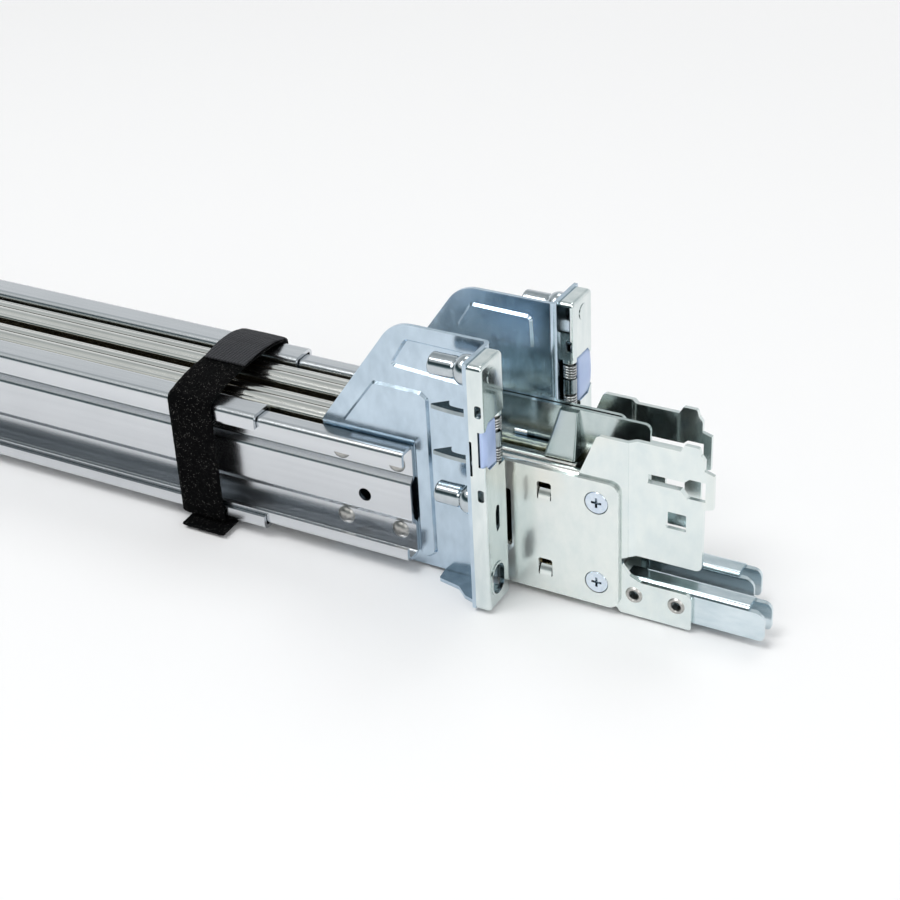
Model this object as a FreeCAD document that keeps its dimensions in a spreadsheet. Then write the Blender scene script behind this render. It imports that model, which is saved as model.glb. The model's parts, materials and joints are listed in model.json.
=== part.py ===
import FreeCAD, Part
import math
import os
from FreeCAD import Vector

# Pair of ball-bearing server rails, strapped together for shipping
# X runs along the rails towards their rear end, Y across the pair, Z up
# The right rail lies at negative Y: its outboard distances are written as positive numbers
# X = 0 in the sketches is the face of the right rear flange that meets the rack post

doc = FreeCAD.newDocument("ServerRailPair")
sheet = doc.addObject("Spreadsheet::Sheet", "Sizes")

SIZES = {
    # rack and overall layout
    "post_span": 640.0,
    "hole_pitch": 44.45,
    "upper_claw_drop": 12.7,
    "lower_claw_drop": 28.575,
    "upper_pin_height": 81.5,
    "pin_outboard": 24.2,
    "rail_axis_height": 25.6,
    "left_fixed_shift": 9.0,
    "left_bracket_shift": 6.4,
    # sleeve channel
    "sleeve_rear_gap": 81.5,
    "sleeve_front_gap": 12.0,
    "sleeve_thickness": 1.2,
    "sleeve_half_height": 21.7,
    "sleeve_depth": 10.2,
    "sleeve_back": 14.3,
    "sleeve_lip": 5.0,
    "sleeve_web_rise": 2.2,
    "sleeve_web_half": 4.6,
    # telescoping channel
    "tele_rear_gap": 27.3,
    "tele_length": 233.0,
    "tele_clearance": 0.2,
    "tele_lip": 5.0,
    "tele_web_rise": 2.2,
    "tele_web_half": 6.2,
    "tele_thickness": 1.2,
    # ball slide
    "slide_outer_face": 12.9,
    "slide_inner_face": 2.0,
    "slide_half_height": 21.0,
    "slide_wall": 1.3,
    "slide_rear_reach": 27.5,
    "slide_front_gap": 14.0,
    "middle_setback": 5.0,
    "inner_setback": 3.0,
    "ball_diameter": 2.6,
    "race_clearance": 0.15,
    "outer_race_offset": 9.1,
    "inner_race_offset": 5.8,
    "race_gap": 0.3,
    "race_height": 18.2,
    "cage_thickness": 0.5,
    "cage_length": 280.0,
    "cage_pitch": 62.0,
    "cage_balls": 5,
    "cage_center_gap": 310.0,
    # flange brackets
    "bracket_thickness": 1.3,
    "bracket_back": 14.5,
    "front_bracket_back": 12.95,
    "bracket_reach": 60.3,
    "front_bracket_reach": 84.0,
    "bracket_top": 87.2,
    "bracket_bottom": 1.5,
    "bracket_shoulder": 47.5,
    "bracket_slope_run": 24.0,
    "flange_edge": 30.8,
    "bracket_emboss": 0.8,
    "panel_taper": 45.0,
    "foot_reach": 18.2,
    "foot_width": 13.0,
    "rivet_row_half": 12.3,
    "rivet_shank": 3.4,
    "rivet_head": 6.2,
    "rivet_dome": 1.5,
    "body_rivet_gap": 150.0,
    "body_rivet_pitch": 130.0,
    "front_rivet_far": 60.0,
    "front_rivet_pitch": 25.0,
    "access_slot_gap": 177.3,
    "access_slot_length": 14.5,
    "access_slot_height": 1.9,
    "rear_rivet_near": 33.0,
    "rear_rivet_pitch": 20.5,
    # post pins
    "pin_diameter": 7.1,
    "pin_length": 14.0,
    "pin_chamfer": 0.9,
    "pin_base_diameter": 9.5,
    "pin_base_length": 5.2,
    "pin_rivet_diameter": 5.0,
    # latch
    "cover_depth": 4.8,
    "cover_wall": 1.2,
    "cover_inboard": 17.0,
    "cover_bottom": 1.0,
    "cover_top": 86.8,
    "cover_corner": 1.7,
    "cover_round": 1.1,
    "cover_ear_height": 9.3,
    "hinge_x": 3.7,
    "hinge_outboard": 19.3,
    "hinge_pin_diameter": 2.6,
    "hinge_fit": 0.03,
    "knuckle_radius": 2.3,
    "knuckle_bottom": 55.3,
    "knuckle_top": 60.3,
    "spring_bottom": 50.0,
    "spring_top": 65.7,
    "spring_wire": 0.8,
    "lug_thickness": 2.3,
    "latch_gap": 0.3,
    "latch_thickness": 1.2,
    "latch_inboard": 21.9,
    "latch_outboard": 28.9,
    "latch_bottom": 50.5,
    "latch_top": 71.0,
    "claw_thickness": 1.3,
    "claw_reach": 12.9,
    "claw_catch": 8.8,
    "claw_tip_outboard": 27.4,
    "barb_outboard": 23.6,
    "notch_outboard": 26.1,
    "claw_play": 0.9,
    "claw_slot_inboard": 21.4,
    "claw_slot_outboard": 29.9,
    "button_bottom": 52.0,
    "button_top": 66.6,
    "button_inboard": 22.1,
    "button_outboard": 29.3,
    "button_bulge": 1.1,
    "button_play": 0.8,
    "button_corner": 2.1,
    "notch_depth": 1.9,
    "window_height": 4.2,
    "window_width": 2.1,
    "upper_window_height": 70.0,
    "lower_window_height": 41.2,
    "adjuster_hole_width": 7.2,
    "adjuster_hole_height": 10.4,
    "adjuster_height": 10.6,
    "adjuster_outboard": 24.8,
    "adjuster_bore": 5.2,
    # cable arm fittings
    "base_plate_back": 12.9,
    "base_plate_thickness": 1.3,
    "base_plate_front": 8.0,
    "base_plate_rear": 41.9,
    "base_plate_top": 47.0,
    "base_plate_bottom": 2.6,
    "screw_x": 34.6,
    "upper_screw_height": 39.5,
    "lower_screw_height": 10.8,
    "screw_head": 7.8,
    "screw_rim": 0.35,
    "screw_shank": 3.9,
    "hook_x": 14.8,
    "hook_width": 4.8,
    "upper_hook_height": 35.9,
    "lower_hook_height": 8.1,
    "hook_height": 6.4,
    "tongue_thickness": 0.7,
    "base_slot_x": 3.6,
    "base_slot_width": 2.2,
    "base_slot_bottom": 16.4,
    "base_slot_top": 37.0,
    "receiver_thickness": 1.4,
    "receiver_jog": 1.9,
    "receiver_jog_x": 44.5,
    "receiver_top": 62.0,
    "receiver_rear": 67.5,
    "receiver_panel_bottom": 22.0,
    "receiver_bottom": 1.2,
    "arm_rear": 65.3,
    "arm_top": 13.8,
    "tab_reach": 3.0,
    "tab_bottom": 44.4,
    "tab_top": 56.4,
    "guide_wall": 1.2,
    "guide_width": 7.7,
    "guide_front": 43.0,
    "guide_top_rear": 82.7,
    "guide_rear": 87.9,
    "guide_bottom": 3.2,
    "guide_top": 14.0,
    "eyelet_front": 46.6,
    "eyelet_pitch": 13.8,
    "eyelet_height": 8.8,
    "eyelet_bore": 3.1,
    "eyelet_ring": 5.6,
    "eyelet_wall": 0.5,
    "inner_plate_inner": 0.4,
    "inner_plate_thickness": 1.2,
    "inner_plate_front": 10.0,
    "inner_plate_rear": 46.5,
    "inner_plate_top": 62.4,
    "inner_plate_bottom": 3.0,
    "inner_plate_corner": 2.0,
    "plate_slot_x": 0.6,
    "plate_slot_length": 12.8,
    "plate_slot_bottom": 47.9,
    "plate_slot_height": 3.1,
    "gusset_foot_front": 13.4,
    "gusset_head_front": 17.1,
    "gusset_rear": 23.3,
    "gusset_depth": 5.0,
    "spacer_x": 37.5,
    "spacer_diameter": 6.0,
    # inner member lever
    "lever_pivot_gap": 70.0,
    "lever_length": 34.0,
    "lever_width": 6.0,
    "lever_thickness": 1.0,
    # strap
    "strap_x": 105.8,
    "strap_width": 17.0,
    "strap_thickness": 1.6,
    "strap_clearance": 0.3,
    "strap_tail": 6.0,
    "strap_arch": 3.0,
}

for row, (alias, value) in enumerate(SIZES.items(), start=1):
    sheet.set("A%d" % row, alias)
    sheet.set("B%d" % row, str(value))
    sheet.setAlias("B%d" % row, alias)
doc.recompute()


def size(alias):
    return float(sheet.get(alias))


def cell(alias):
    return "Sizes." + alias


# The frame's origin is the bottom centre of the whole pair
ORIGIN_X = "(Sizes.post_span + Sizes.bracket_thickness + Sizes.cover_depth"
ORIGIN_X += " + Sizes.button_bulge + Sizes.left_fixed_shift - Sizes.guide_rear) / 2"

nodes = []


def corner_arc(before, corner, after, radius):
    # tangent points and middle of the round that replaces a corner
    to_before = (before - corner).normalize()
    to_after = (after - corner).normalize()
    half = to_before.getAngle(to_after) / 2
    reach = radius / math.tan(half)
    bisector = (to_before + to_after).normalize()
    middle = corner + bisector * (radius / math.sin(half) - radius)
    return corner + to_before * reach, middle, corner + to_after * reach


def outline(points):
    # closed outline; a third number rounds a point, ("arc", x, y) bends the run between two points
    corners = []
    rounds = []
    bends = {}
    for point in points:
        if point[0] == "arc":
            bends[len(corners) - 1] = Vector(point[1], point[2], 0)
        else:
            corners.append(Vector(point[0], point[1], 0))
            rounds.append(point[2] if len(point) > 2 else 0)
    ends = []
    for i, corner in enumerate(corners):
        if rounds[i] > 0:
            ends.append(corner_arc(corners[i - 1], corner, corners[(i + 1) % len(corners)], rounds[i]))
        else:
            ends.append((corner, None, corner))
    edges = []
    for i, (start, middle, finish) in enumerate(ends):
        if middle:
            edges.append(Part.Arc(start, middle, finish))
        following = ends[(i + 1) % len(ends)][0]
        if i in bends:
            edges.append(Part.Arc(finish, bends[i], following))
        elif finish.distanceToPoint(following) > 1e-6:
            edges.append(Part.LineSegment(finish, following))
    return edges


def rectangle(left, bottom, right, top, radius=0):
    return outline([(left, bottom, radius), (right, bottom, radius), (right, top, radius),
                    (left, top, radius)])


def circle(x, y, radius):
    return [Part.Circle(Vector(x, y, 0), Vector(0, 0, 1), radius)]


def sheet_section(path, thickness, radius):
    # outline of bent sheet whose outer face follows the path, material on the right of travel
    outer = [Vector(p[0], p[1], 0) for p in path]
    inner = []
    for i, point in enumerate(outer):
        sides = []
        for a, b in ((i - 1, i), (i, i + 1)):
            if 0 <= a and b < len(outer):
                run = (outer[b] - outer[a]).normalize()
                sides.append(Vector(run.y, -run.x, 0))
        normal = sides[0]
        if len(sides) == 2:
            normal = (sides[0] + sides[1]).normalize()
            normal = normal / normal.dot(sides[0])
        inner.append(point + normal * thickness)
    points = []
    last = len(outer) - 1
    for i in range(len(outer)):
        turn = 0
        if 0 < i < last:
            before = outer[i] - outer[i - 1]
            after = outer[i + 1] - outer[i]
            turn = before.cross(after).z
        bend = 0
        if turn:
            bend = radius if turn > 0 else radius + thickness
        points.append((outer[i].x, outer[i].y, bend))
    for i in reversed(range(len(outer))):
        turn = 0
        if 0 < i < last:
            before = outer[i] - outer[i - 1]
            after = outer[i + 1] - outer[i]
            turn = before.cross(after).z
        bend = 0
        if turn:
            bend = radius + thickness if turn > 0 else radius
        points.append((inner[i].x, inner[i].y, bend))
    return points


def new_body(label, node=True):
    body = doc.addObject("PartDesign::Body", label)
    body.Label = label
    body.AllowCompound = True
    body.setExpression("Placement.Base.x", ORIGIN_X)
    if node:
        nodes.append(body)
    return body


def new_sketch(body, name, role, level, loops):
    plane = next(f for f in body.Origin.OriginFeatures if f.Role == role)
    sketch = body.newObject("Sketcher::SketchObject", name)
    sketch.AttachmentSupport = [(plane, "")]
    sketch.MapMode = "FlatFace"
    sketch.setExpression("AttachmentOffset.Base.z", level)
    for loop in loops:
        sketch.addGeometry(loop, False)
    return sketch


def pad(body, name, role, level, length, loops):
    feature = body.newObject("PartDesign::Pad", name)
    feature.Profile = new_sketch(body, name + "Sketch", role, level, loops)
    feature.setExpression("Length", length)
    body.Tip = feature
    return feature


def pocket(body, name, role, level, length, loops):
    # cuts from the level along the plane's normal, like the pads
    feature = body.newObject("PartDesign::Pocket", name)
    feature.Profile = new_sketch(body, name + "Sketch", role, level, loops)
    feature.setExpression("Length", length)
    feature.Reversed = True
    body.Tip = feature
    return feature


def revolve(body, name, role, level, loops, axis_base, axis_direction, kind="Revolution"):
    # full turn, or a turned cut, about a construction line in the sketch's plane
    sketch = new_sketch(body, name + "Sketch", role, level, loops)
    base = Vector(axis_base[0], axis_base[1], 0)
    tip = base + Vector(axis_direction[0], axis_direction[1], 0)
    sketch.addGeometry(Part.LineSegment(base, tip), True)
    feature = body.newObject("PartDesign::" + kind, name)
    feature.Profile = sketch
    feature.ReferenceAxis = (sketch, ["Axis0"])
    feature.Angle = 360
    body.Tip = feature
    return feature


def mirrored(label, source, normal, base_x, shift):
    copy = doc.addObject("Part::Mirroring", label)
    copy.Label = label
    copy.Source = source
    copy.Normal = normal
    copy.setExpression("Base.x", base_x)
    copy.setExpression("Placement.Base.x", shift)
    nodes.append(copy)
    return copy


def across(points):
    # section points are (outboard, height); the sketch's own axis runs the other way
    flipped = []
    for point in points:
        if point[0] == "arc":
            flipped.append(("arc", -point[1], point[2]))
        else:
            flipped.append((-point[0],) + tuple(point[1:]))
    return flipped


def section(points):
    return outline(across(points))


def both_halves(upper, axis):
    # a section symmetric about the rail's axis height, from its upper half
    points = []
    for mirror_sign, run in ((1, upper), (-1, list(reversed(upper)))):
        for point in run:
            if point[0] == "arc":
                points.append(("arc", point[1], axis + mirror_sign * point[2]))
            else:
                points.append((point[0], axis + mirror_sign * point[1]) + tuple(point[2:]))
    return points


def box_section(near, low, far, high, radius=0):
    return section([(near, low, radius), (far, low, radius), (far, high, radius), (near, high, radius)])


def ring(x, y, outer, inner):
    return [circle(x, y, outer), circle(x, y, inner)]


AXIS = size("rail_axis_height")

# Sheet-metal channels


def channel_path(back, face, half, lip, web_rise, web_half):
    # outer face of the channel, from the lower lip round the back to the upper lip
    slope = web_rise
    half_path = [
        (back + web_rise, web_half),
        (back, web_half + slope),
        (back, half),
        (face, half),
        (face, half - lip),
    ]
    lower = [(p[0], AXIS - p[1]) for p in reversed(half_path)]
    upper = [(p[0], AXIS + p[1]) for p in half_path]
    return lower + upper


def rivet_spots(first_x, pitch, count):
    spots = []
    for i in range(count):
        for side in (-1, 1):
            spots.append((first_x - i * pitch, AXIS + side * size("rivet_row_half")))
    return spots


sleeve_face = size("sleeve_back") + size("sleeve_depth")
sleeve_path = channel_path(size("sleeve_back"), sleeve_face, size("sleeve_half_height"),
                           size("sleeve_lip"), size("sleeve_web_rise"), size("sleeve_web_half"))
rear_rivets = rivet_spots(-size("rear_rivet_near"), size("rear_rivet_pitch"), 2)
front_rivets = rivet_spots(-size("post_span") + size("front_rivet_far"), size("front_rivet_pitch"), 2)
body_rivets = rivet_spots(-size("body_rivet_gap"), size("body_rivet_pitch"), 3)
shank = size("rivet_shank") / 2
shank_hole = shank + size("hinge_fit")

sleeve = new_body("right_sleeve_channel")
pad(sleeve, "SleeveSection", "YZ_Plane", "-Sizes.post_span + Sizes.sleeve_front_gap",
    "Sizes.post_span - Sizes.sleeve_front_gap - Sizes.sleeve_rear_gap",
    [section(sheet_section(sleeve_path, size("sleeve_thickness"), 0.8))])
sleeve_holes = [circle(x, z, shank_hole) for x, z in front_rivets + body_rivets]
pocket(sleeve, "SleeveRivetHoles", "XZ_Plane", "Sizes.sleeve_back - 1", "Sizes.sleeve_thickness + 2",
       sleeve_holes)
slot_reach = size("access_slot_length") / 2
slot_half = size("access_slot_height") / 2
slot_z = AXIS + size("sleeve_web_half") + slot_half
access_slots = []
for i in range(3):
    x = -size("access_slot_gap") - i * size("body_rivet_pitch")
    access_slots.append(rectangle(x - slot_reach, slot_z - slot_half, x + slot_reach, slot_z + slot_half,
                                  0.8))
pocket(sleeve, "SleeveAccessSlots", "XZ_Plane", "Sizes.sleeve_back - 1",
       "Sizes.sleeve_thickness + Sizes.sleeve_web_rise + 2", access_slots)

tele_back = size("bracket_back") + size("bracket_thickness")
tele_face = sleeve_face - size("sleeve_thickness") - size("tele_clearance")
tele_half = size("sleeve_half_height") - size("sleeve_thickness") - size("tele_clearance")
tele_path = channel_path(tele_back, tele_face, tele_half, size("tele_lip"), size("tele_web_rise"),
                         size("tele_web_half"))
tele = new_body("right_telescoping_channel")
pad(tele, "TelescopingSection", "YZ_Plane", "-Sizes.tele_rear_gap - Sizes.tele_length", "Sizes.tele_length",
    [section(sheet_section(tele_path, size("tele_thickness"), 0.8))])
pocket(tele, "TelescopingRivetHoles", "XZ_Plane", "Sizes.bracket_back", "Sizes.tele_thickness + 4",
       [circle(x, z, shank_hole) for x, z in rear_rivets])
pocket(tele, "TelescopingGaugeHole", "XZ_Plane", "Sizes.bracket_back", "Sizes.tele_thickness + 6",
       [circle(-44.4, AXIS - 1.0, 2.3)])

# Ball slide: two facing channels, an I-shaped middle member and two ball cages

ball_radius = size("ball_diameter") / 2
groove = ball_radius + size("race_clearance")
wall = size("slide_wall")
race_z = size("race_height")
strip_half = size("cage_thickness") / 2
flange_under = race_z + strip_half + 0.4
head_top = race_z - strip_half - 0.4
groove_chord = math.sqrt(groove ** 2 - (flange_under - race_z) ** 2)
outer_face = size("slide_outer_face")
inner_face = size("slide_inner_face")
width_sum = outer_face + inner_face
split = width_sum / 2
tip = split + size("race_gap") / 2


def race_channel_upper():
    # upper half of the outer member: web, shoulder and a flange rolled round the ball race
    center = size("outer_race_offset")
    arch = groove + wall
    flange_top = flange_under + wall
    shoulder = center + math.sqrt(arch ** 2 - (flange_top - race_z) ** 2)
    tip_top = race_z + math.sqrt(arch ** 2 - (tip - center) ** 2)
    return [
        (outer_face, flange_top, 1.4),
        (shoulder, flange_top),
        ("arc", center, race_z + arch),
        (tip, tip_top),
        (tip, flange_under),
        (center - groove_chord, flange_under),
        ("arc", center, race_z + groove),
        (center + groove_chord, flange_under),
        (outer_face - wall, flange_under, 0.3),
    ]


def facing(points):
    # the same half section turned to face the other way
    turned = []
    for point in points:
        if point[0] == "arc":
            turned.append(("arc", width_sum - point[1], point[2]))
        else:
            turned.append((width_sum - point[0],) + tuple(point[1:]))
    return turned


slide_start = "-Sizes.post_span + Sizes.slide_front_gap"
slide_length = "Sizes.post_span - Sizes.slide_front_gap + Sizes.slide_rear_reach"

outer_member = new_body("right_slide_outer_member")
pad(outer_member, "OuterSection", "YZ_Plane", slide_start, slide_length,
    [section(both_halves(race_channel_upper(), AXIS))])
pocket(outer_member, "OuterRivetHoles", "XZ_Plane", "Sizes.slide_outer_face - Sizes.slide_wall - 1",
       "Sizes.slide_wall + 2", [circle(x, z, shank_hole) for x, z in front_rivets + body_rivets])
hook_right = size("hook_x") + size("hook_width")
slot_right = size("base_slot_x") + size("base_slot_width")
end_windows = [rectangle(size("base_slot_x"), size("base_slot_bottom"), slot_right, size("base_slot_top"),
                         0.9)]
for z in (size("upper_hook_height"), size("lower_hook_height")):
    end_windows.append(rectangle(size("hook_x"), z, hook_right, z + size("hook_height"), 0.8))
pocket(outer_member, "EndWindows", "XZ_Plane", "Sizes.slide_outer_face - Sizes.slide_wall - 1",
       "Sizes.slide_wall + 2", end_windows)

inner_member = new_body("right_slide_inner_member")
pad(inner_member, "InnerSection", "YZ_Plane", slide_start, slide_length + " - Sizes.inner_setback",
    [section(both_halves(facing(race_channel_upper()), AXIS))])

middle_center = split
head_half = (size("outer_race_offset") - size("inner_race_offset")) / 2 + groove + 0.05
middle_upper = [
    (middle_center + wall / 2, 15.2, 0.8),
    (middle_center + head_half, 15.2, 0.5),
    (middle_center + head_half, head_top),
    (size("outer_race_offset") + groove_chord, head_top),
    ("arc", size("outer_race_offset"), race_z - groove),
    (size("outer_race_offset") - groove_chord, head_top),
    (size("inner_race_offset") + groove_chord, head_top),
    ("arc", size("inner_race_offset"), race_z - groove),
    (size("inner_race_offset") - groove_chord, head_top),
    (middle_center - head_half, head_top),
    (middle_center - head_half, 15.2, 0.5),
    (middle_center - wall / 2, 15.2, 0.8),
]
middle_member = new_body("right_slide_middle_member")
pad(middle_member, "MiddleSection", "YZ_Plane", slide_start + " + Sizes.middle_setback",
    slide_length + " - 2 * Sizes.middle_setback", [section(both_halves(middle_upper, AXIS))])


def plan(points):
    # points given as (along, outboard), drawn on the ground plane
    flipped = []
    for point in points:
        if point[0] == "arc":
            flipped.append(("arc", point[1], -point[2]))
        else:
            flipped.append((point[0], -point[1]) + tuple(point[2:]))
    return outline(flipped)


def half_profile(axis_z, steps, bore=0):
    # (place, radius) steps along a turning axis, closed along the axis or along a bore
    points = [(steps[0][0], axis_z + bore)]
    for step in steps:
        if step[0] == "arc":
            points.append(("arc", step[1], axis_z + step[2]))
        else:
            points.append((step[0], axis_z + step[1]))
    points.append((steps[-1][0], axis_z + bore))
    return points


def head_profile(axis_z, steps, bore=0):
    # the steps run outboard, and the part is turned about a line across the rail
    return outline(across(half_profile(axis_z, steps, bore)))


def turned_across(body, name, level, axis_z, steps, bore=0):
    return revolve(body, name, "YZ_Plane", level, [head_profile(axis_z, steps, bore)], (0, axis_z), (1, 0))


def turned_along(body, name, level, axis_z, steps):
    # the same for a part whose axis runs along the rail
    return revolve(body, name, "XZ_Plane", level, [outline(half_profile(axis_z, steps))], (0, axis_z), (1, 0))


def dome(face, radius, height):
    # steps of a low rounded rivet head standing on a face
    return [(face, radius), ("arc", face + 0.8 * height, 0.6 * radius), (face + height, 0.1 * radius)]


def rounded(body, name, base, radius, chosen):
    # rounds the edges of the last feature that the test picks
    doc.recompute()
    names = ["Edge%d" % (i + 1) for i, edge in enumerate(base.Shape.Edges) if chosen(edge.BoundBox)]
    fillet = body.newObject("PartDesign::Fillet", name)
    fillet.Base = (base, names)
    fillet.setExpression("Radius", radius)
    body.Tip = fillet
    return fillet


cage_wall = size("cage_thickness")
for cage_name, race, side in (("outer", "outer_race_offset", 1), ("inner", "inner_race_offset", -1)):
    cage = new_body("right_" + cage_name + "_ball_cage")
    race_w = size(race)
    web = race_w + side * (groove + 0.55)
    strip_end = race_w - side * 1.1
    upper = [
        (web, race_z + strip_half),
        (strip_end, race_z + strip_half),
        (strip_end, race_z - strip_half),
        (web - side * cage_wall, race_z - strip_half),
    ]
    pad(cage, cage_name.capitalize() + "CageSection", "YZ_Plane",
        "-Sizes.cage_center_gap - Sizes.cage_length / 2", "Sizes.cage_length",
        [section(both_halves(upper, AXIS))])
    for row in (1, -1):
        row_z = AXIS + row * race_z
        balls = []
        for i in range(int(size("cage_balls"))):
            x = -size("cage_center_gap") + (i - (size("cage_balls") - 1) / 2) * size("cage_pitch")
            balls.append(outline([(x - ball_radius, row_z), ("arc", x, row_z + ball_radius),
                                  (x + ball_radius, row_z)]))
        revolve(cage, cage_name.capitalize() + ("Upper" if row > 0 else "Lower") + "Balls", "XZ_Plane",
                cell(race), balls, (0, row_z), (1, 0))

# Fasteners that hold the fixed parts of one rail together

plate_back = size("sleeve_back")
web_inner = outer_face - wall
receiver_inner = size("base_plate_back") - size("receiver_thickness")
guide_inner = receiver_inner - size("guide_wall")
fixed_rivets = new_body("right_fixed_rivets")
for i, (x, z) in enumerate(body_rivets):
    turned_across(fixed_rivets, "BodyRivet%d" % (i + 1), "%s" % x, z,
                  [(web_inner, shank), (outer_face, shank), (outer_face, shank + 1.5), (plate_back, shank + 1.5),
                   (plate_back, shank), (plate_back + size("sleeve_thickness"), shank)])
for i, (x, z) in enumerate(front_rivets):
    strip_face = plate_back + size("sleeve_thickness")
    turned_across(fixed_rivets, "FrontRivet%d" % (i + 1), "%s" % x, z,
                  [(web_inner, shank)] + [(strip_face, shank)]
                  + dome(strip_face, size("rivet_head") / 2, size("rivet_dome")))
bore = size("eyelet_bore") / 2
eyelet_shank = bore + size("eyelet_wall")
eyelet_rim = size("eyelet_ring") / 2
base_w = size("base_plate_back")
eyelet_spots = [size("eyelet_front") + i * size("eyelet_pitch") for i in range(2)]
for i, x in enumerate(eyelet_spots):
    turned_across(fixed_rivets, "Eyelet%d" % (i + 1), "%s" % x, size("eyelet_height"),
                  [(guide_inner, eyelet_shank), (base_w, eyelet_shank), (base_w, eyelet_rim),
                   (base_w + size("eyelet_wall"), eyelet_rim - 0.4),
                   (base_w + size("eyelet_wall"), bore + 0.3),
                   (base_w + 0.2, bore)], bore)
inner_plate_face = size("inner_plate_inner") + size("inner_plate_thickness")
spacer_heights = (15.0, 31.0)
spacer_shank = 1.4
for i, z in enumerate(spacer_heights):
    turned_across(fixed_rivets, "Spacer%d" % (i + 1), "Sizes.spacer_x", z,
                  [(size("inner_plate_inner"), spacer_shank), (inner_plate_face, spacer_shank),
                   (inner_plate_face, size("spacer_diameter") / 2),
                   (receiver_inner, size("spacer_diameter") / 2), (receiver_inner, spacer_shank),
                   (size("base_plate_back"), spacer_shank)])

rear_bracket_rivets = new_body("right_rear_bracket_rivets")
for i, (x, z) in enumerate(rear_rivets):
    strip_face = tele_back + size("tele_thickness")
    turned_across(rear_bracket_rivets, "BracketRivet%d" % (i + 1), "%s" % x, z,
                  [(size("bracket_back"), shank), (strip_face, shank)]
                  + dome(strip_face, size("rivet_head") / 2, size("rivet_dome")))

# End brackets: one plate bent to a flange that stands on the rack post

thick = size("bracket_thickness")
upper_pin = size("upper_pin_height")
lower_pin = upper_pin - size("hole_pitch")
upper_claw = upper_pin - size("upper_claw_drop")
lower_claw = upper_pin - size("lower_claw_drop")
slot_half = size("claw_thickness") / 2 + size("claw_play")
pin_rivet = size("pin_rivet_diameter") / 2


def make_bracket(label, back, reach, rivets, reverse):
    # reverse is -1 for the front end, whose plate runs the other way
    at = -size("post_span") if reverse < 0 else 0
    level = "-Sizes.post_span" if reverse < 0 else "0"
    bracket = new_body(label)
    edge = size("flange_edge")

    def along(points):
        return [(at + reverse * p[0],) + tuple(p[1:]) for p in points]

    corner = sheet_section([(thick, edge), (thick, back), (-reach, back)], thick, 0.8)
    pad(bracket, "BentPlate", "XY_Plane", "Sizes.bracket_bottom", "Sizes.bracket_top - Sizes.bracket_bottom",
        [plan(along(corner))])
    pad(bracket, "FootWeb", "XY_Plane", "0", "Sizes.bracket_bottom + 2",
        [plan(along([(-size("foot_reach"), back), (-0.4, back), (-0.4, back + thick),
                     (-size("foot_reach"), back + thick)]))])
    foot = size("foot_width")
    pad(bracket, "Foot", "XY_Plane", "0", "Sizes.bracket_thickness",
        [plan(along([(-size("foot_reach"), back + 0.3), (-0.4, back + 0.3), (-0.4, back + foot, 0.5),
                     (-5.5, back + foot - 1.7, 2), (-9.5, back + foot - 5.2, 2),
                     (-size("foot_reach") + 0.7, back + foot - 6.8, 1)]))])
    top = size("bracket_top")
    shoulder = size("bracket_shoulder")
    slope_top = -reach + size("bracket_slope_run") + 4.2
    cut_level = "Sizes.bracket_back - 3"
    pocket(bracket, "ShoulderCut", "XZ_Plane", cut_level, "Sizes.bracket_thickness + 6",
           [outline(along([(-reach - 2, shoulder), (-reach, shoulder), (slope_top, top, 12),
                           (slope_top + 12, top), (slope_top + 12, top + 2), (-reach - 2, top + 2)]))])
    holes = [circle(x, z, shank_hole) for x, z in rivets]
    pocket(bracket, "RivetHoles", "XZ_Plane", cut_level, "Sizes.bracket_thickness + 6", holes)
    flange_level = level + " - 3 * Sizes.bracket_thickness"
    slots = []
    for z in (upper_claw, lower_claw):
        slots.append(box_section(size("claw_slot_inboard"), z - slot_half,
                                 size("claw_slot_outboard"), z + slot_half))
    for z in (upper_pin, lower_pin):
        slots.append(circle(-size("pin_outboard"), z, pin_rivet + size("hinge_fit")))
    slots.append(circle(-size("adjuster_outboard"), size("adjuster_height"), size("adjuster_bore") / 2))
    pocket(bracket, "ClawAndPinHoles", "YZ_Plane", flange_level, "6 * Sizes.bracket_thickness", slots)
    return bracket


rear_bracket = make_bracket("right_rear_bracket", size("bracket_back"), size("bracket_reach"), rear_rivets, 1)
front_bracket = make_bracket("right_front_bracket", size("front_bracket_back"), size("front_bracket_reach"),
                             front_rivets, -1)

# Two embossed panels of the rear bracket: the lower one stands outboard, the upper one inboard
rivet_channel_top = AXIS + tele_half
lower_panel = [(-40.3, 65.6, 2.0), (-23.2, 65.4, 2.5), (-20.7, 63.5, 1.5), (-20.5, 7.0, 2.0),
               (-24.0, 4.2, 2.0), (-26.6, 5.6, 1.0), (-26.6, rivet_channel_top + 1.4, 1.0),
               (-50.0, rivet_channel_top + 1.4, 2.0),
               (-52.6, rivet_channel_top + 3.0, 1.0)]
upper_panel = [(-34.4, 72.0, 1.5), (-28.0, 82.4, 2.0), (-6.5, 82.0, 2.0), (-6.0, 70.4, 1.5)]
outboard_face = "Sizes.bracket_back + Sizes.bracket_thickness"

lower = pad(rear_bracket, "LowerPanel", "XZ_Plane", outboard_face, "Sizes.bracket_emboss",
            [outline(lower_panel)])
lower.TaperAngle = -size("panel_taper")
upper = pad(rear_bracket, "UpperPanel", "XZ_Plane", "Sizes.bracket_back", "Sizes.bracket_emboss",
            [outline(upper_panel)])
upper.Reversed = True
upper.TaperAngle = -size("panel_taper")
dish = pocket(rear_bracket, "UpperDish", "XZ_Plane", outboard_face, "Sizes.bracket_emboss",
              [outline(upper_panel)])
dish.Reversed = False
dish.TaperAngle = -size("panel_taper")
hollow = pocket(rear_bracket, "LowerHollow", "XZ_Plane", "Sizes.bracket_back", "Sizes.bracket_emboss",
                [outline(lower_panel)])
hollow.TaperAngle = -size("panel_taper")

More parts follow.
